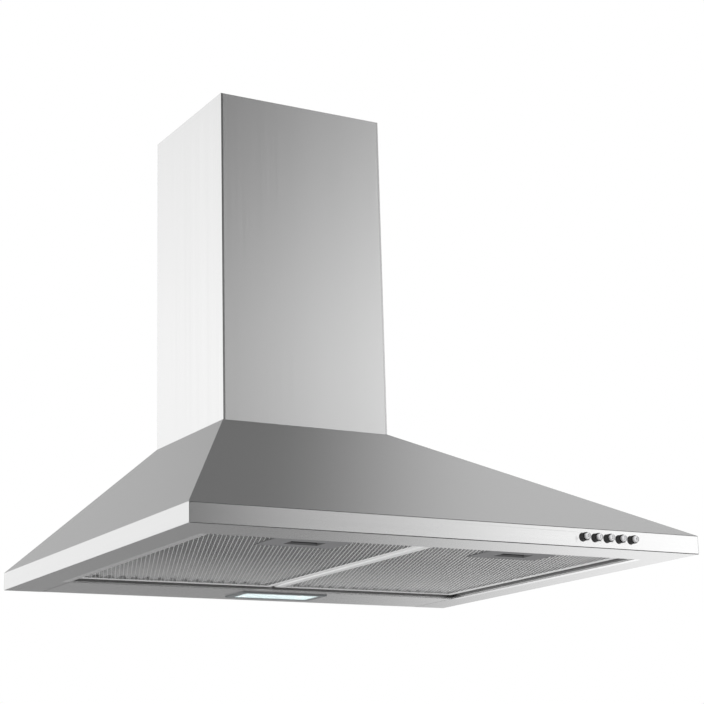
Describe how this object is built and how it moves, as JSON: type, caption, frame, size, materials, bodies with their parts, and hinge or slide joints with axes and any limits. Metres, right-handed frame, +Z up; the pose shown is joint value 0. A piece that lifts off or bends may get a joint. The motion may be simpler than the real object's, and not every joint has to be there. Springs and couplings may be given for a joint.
{
  "type": "chimney range hood",
  "caption": "Wall-mounted pyramid range hood with a telescopic chimney, drop-down grease filters, push buttons, a lamp and a centrifugal fan with a duct outlet.",
  "frame": {"origin": "centre of the four wall screws, on the back plane that lies against the wall", "axes": "+Z up, -Y towards the cook at the front, +X to the cook's right; the back lies on y = 0"},
  "size_m": [0.6, 0.522, 0.5812],
  "materials": {
    "stainless": "brushed stainless steel",
    "zinc_plate": "zinc-plated sheet steel, dull",
    "filter_metal": "expanded aluminium, satin",
    "filter_steel": "satin stainless channel",
    "blower_plastic": "black moulded plastic, matt",
    "wheel_plastic": "dark grey moulded plastic",
    "grey_plastic": "grey moulded plastic",
    "button_black": "black gloss barrel with a silver face",
    "lamp_plastic": "grey lamp frame",
    "lamp_glass": "frosted clear cover",
    "lamp_mirror": "bright aluminium trough",
    "led_white": "white board with two lit bars",
    "fastener": "zinc-plated",
    "motor_metal": "cast motor shell",
    "capacitor_case": "off-white case",
    "spring_steel": "spring strip"
  },
  "bodies": {
    "hood": {"back_panel": "zinc_plate", "blower_mount_plate": "zinc_plate", "cable_gland": "blower_plastic", "canopy_shell": "stainless", "capacitor_nut": "fastener", "centre_rail": "stainless", "damper_collar": "blower_plastic", "damper_pin": "fastener", "inlet_guard": "blower_plastic", "lamp_bezel": "lamp_plastic", "lamp_housing": "zinc_plate", "lamp_lens": "lamp_glass", "lamp_reflector": "lamp_mirror", "led_board": "led_white", "lower_chimney_cover": "stainless", "lower_wall_bracket": "zinc_plate", "motor_body": "motor_metal", "motor_bracket": "zinc_plate", "motor_screws": "fastener", "outlet_adaptor": "blower_plastic", "outlet_screws": "fastener", "plate_screws": "fastener", "rear_panel": "stainless", "run_capacitor": "capacitor_case", "switch_block": "blower_plastic", "terminal_box": "grey_plastic", "terminal_box_lid": "grey_plastic", "upper_wall_bracket": "zinc_plate", "volute_left": "blower_plastic", "volute_right": "blower_plastic", "volute_screws": "fastener"},
    "upper_cover": {"upper_chimney_cover": "stainless"},
    "filter_left": {"filter_frame_left": "filter_steel", "filter_net_left": "filter_metal", "filter_pack_left": "filter_metal", "handle_plate_left": "filter_steel", "latch_spring_left": "spring_steel"},
    "filter_right": {"filter_frame_right": "filter_steel", "filter_net_right": "filter_metal", "filter_pack_right": "filter_metal", "handle_plate_right": "filter_steel", "latch_spring_right": "spring_steel"},
    "latch_left": {"latch_left": "blower_plastic"},
    "latch_right": {"latch_right": "blower_plastic"},
    "fan_wheel": {"impeller": "wheel_plastic", "motor_shaft": "fastener"},
    "flap_front": {"damper_flap_front": "grey_plastic"},
    "flap_rear": {"damper_flap_rear": "grey_plastic"},
    "button_1": {"push_button_1": "button_black"},
    "button_2": {"push_button_2": "button_black"},
    "button_3": {"push_button_3": "button_black"},
    "button_4": {"push_button_4": "button_black"},
    "button_5": {"push_button_5": "button_black"}
  },
  "joints": [
    {"name": "upper_cover_slide", "type": "slide", "parent": "hood", "child": "upper_cover", "axis": [0, 0, 1], "range_m": [0, 0.3]},
    {"name": "filter_left_hinge", "type": "hinge", "parent": "hood", "child": "filter_left", "pos_m": [-0.12712, -0.0925, -0.086], "axis": [1, 0, 0], "range_deg": [0, 75]},
    {"name": "latch_left_slide", "type": "slide", "parent": "filter_left", "child": "latch_left", "axis": [0, 1, 0], "range_m": [0, 0.006], "stiffness_N_per_m": 300, "springref_m": -0.004, "deforming": ["latch_spring_left"]},
    {"name": "filter_right_hinge", "type": "hinge", "parent": "hood", "child": "filter_right", "pos_m": [0.12712, -0.0925, -0.086], "axis": [1, 0, 0], "range_deg": [0, 75]},
    {"name": "latch_right_slide", "type": "slide", "parent": "filter_right", "child": "latch_right", "axis": [0, 1, 0], "range_m": [0, 0.006], "stiffness_N_per_m": 300, "springref_m": -0.004, "deforming": ["latch_spring_right"]},
    {"name": "button_1_press", "type": "slide", "parent": "hood", "child": "button_1", "axis": [0, 1, 0], "range_m": [0, 0.003], "stiffness_N_per_m": 400, "springref_m": -0.002},
    {"name": "button_2_press", "type": "slide", "parent": "hood", "child": "button_2", "axis": [0, 1, 0], "range_m": [0, 0.003], "stiffness_N_per_m": 400, "springref_m": -0.002},
    {"name": "button_3_press", "type": "slide", "parent": "hood", "child": "button_3", "axis": [0, 1, 0], "range_m": [0, 0.003], "stiffness_N_per_m": 400, "springref_m": -0.002},
    {"name": "button_4_press", "type": "slide", "parent": "hood", "child": "button_4", "axis": [0, 1, 0], "range_m": [0, 0.003], "stiffness_N_per_m": 400, "springref_m": -0.002},
    {"name": "button_5_press", "type": "slide", "parent": "hood", "child": "button_5", "axis": [0, 1, 0], "range_m": [0, 0.003], "stiffness_N_per_m": 400, "springref_m": -0.002},
    {"name": "fan_spin", "type": "hinge", "parent": "hood", "child": "fan_wheel", "pos_m": [0, -0.14173, 0.019], "axis": [1, 0, 0], "continuous": true},
    {"name": "flap_front_hinge", "type": "hinge", "parent": "hood", "child": "flap_front", "pos_m": [0, -0.094, 0.1555], "axis": [-1, 0, 0], "range_deg": [0, 75]},
    {"name": "flap_rear_hinge", "type": "hinge", "parent": "hood", "child": "flap_rear", "pos_m": [0, -0.094, 0.1555], "axis": [1, 0, 0], "range_deg": [0, 75]}
  ]
}
